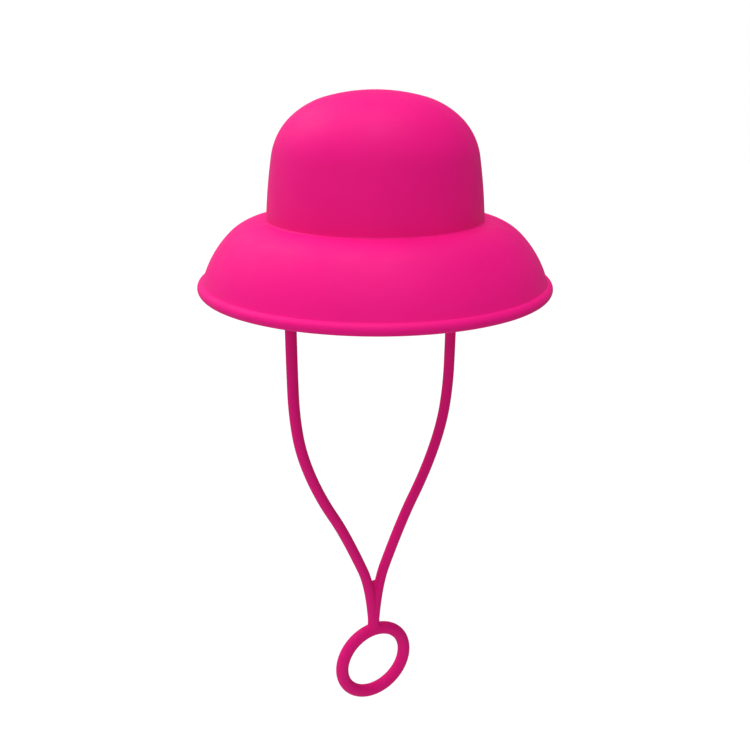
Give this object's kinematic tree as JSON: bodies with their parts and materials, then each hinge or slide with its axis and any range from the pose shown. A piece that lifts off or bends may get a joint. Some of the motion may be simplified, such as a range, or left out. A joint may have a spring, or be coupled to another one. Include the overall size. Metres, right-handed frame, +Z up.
{
  "type": "highlighting cap",
  "caption": "Moulded silicone hair highlighting cap with a bell crown, a flared brim with a round rim bead, and a Y-shaped chin strap ending in a pull ring.",
  "frame": {"origin": "centre of the crown's base at the crease with the brim, where the head enters the cap", "axes": "+Z up through the crown's apex; the strap lies in the XZ plane with its lugs on -X and +X; -Y is the front"},
  "size_m": [0.3002, 0.3002, 0.5852],
  "materials": {
    "cap_silicone": "satin moulded silicone",
    "stud_silicone": "satin moulded silicone, firmer grade",
    "strap_silicone": "satin moulded silicone"
  },
  "bodies": {
    "cap": {"crown_dome": "cap_silicone", "crown_upper_shoulder": "cap_silicone", "crown_lower_shoulder": "cap_silicone", "crown_wall": "cap_silicone", "brim_shoulder": "cap_silicone", "brim_skirt": "cap_silicone", "rim_bead": "cap_silicone", "sealing_band": "cap_silicone", "left_lug": "cap_silicone", "right_lug": "cap_silicone", "left_stud": "stud_silicone", "right_stud": "stud_silicone"},
    "strap": {"left_strap_eye": "strap_silicone", "right_strap_eye": "strap_silicone", "left_cord": "strap_silicone", "right_cord": "strap_silicone", "yoke": "strap_silicone"},
    "ring": {"pull_ring": "strap_silicone"}
  },
  "joints": [
    {"name": "strap_swing", "type": "hinge", "parent": "cap", "child": "strap", "pos_m": [0, 0, -0.008], "axis": [1, 0, 0], "range_deg": [-62, 62]},
    {"name": "ring_tilt", "type": "hinge", "parent": "strap", "child": "ring", "pos_m": [0, 0, -0.4054], "axis": [1, 0, 0], "range_deg": [-60, 60], "stiffness_Nm_per_rad": 0.08}
  ]
}
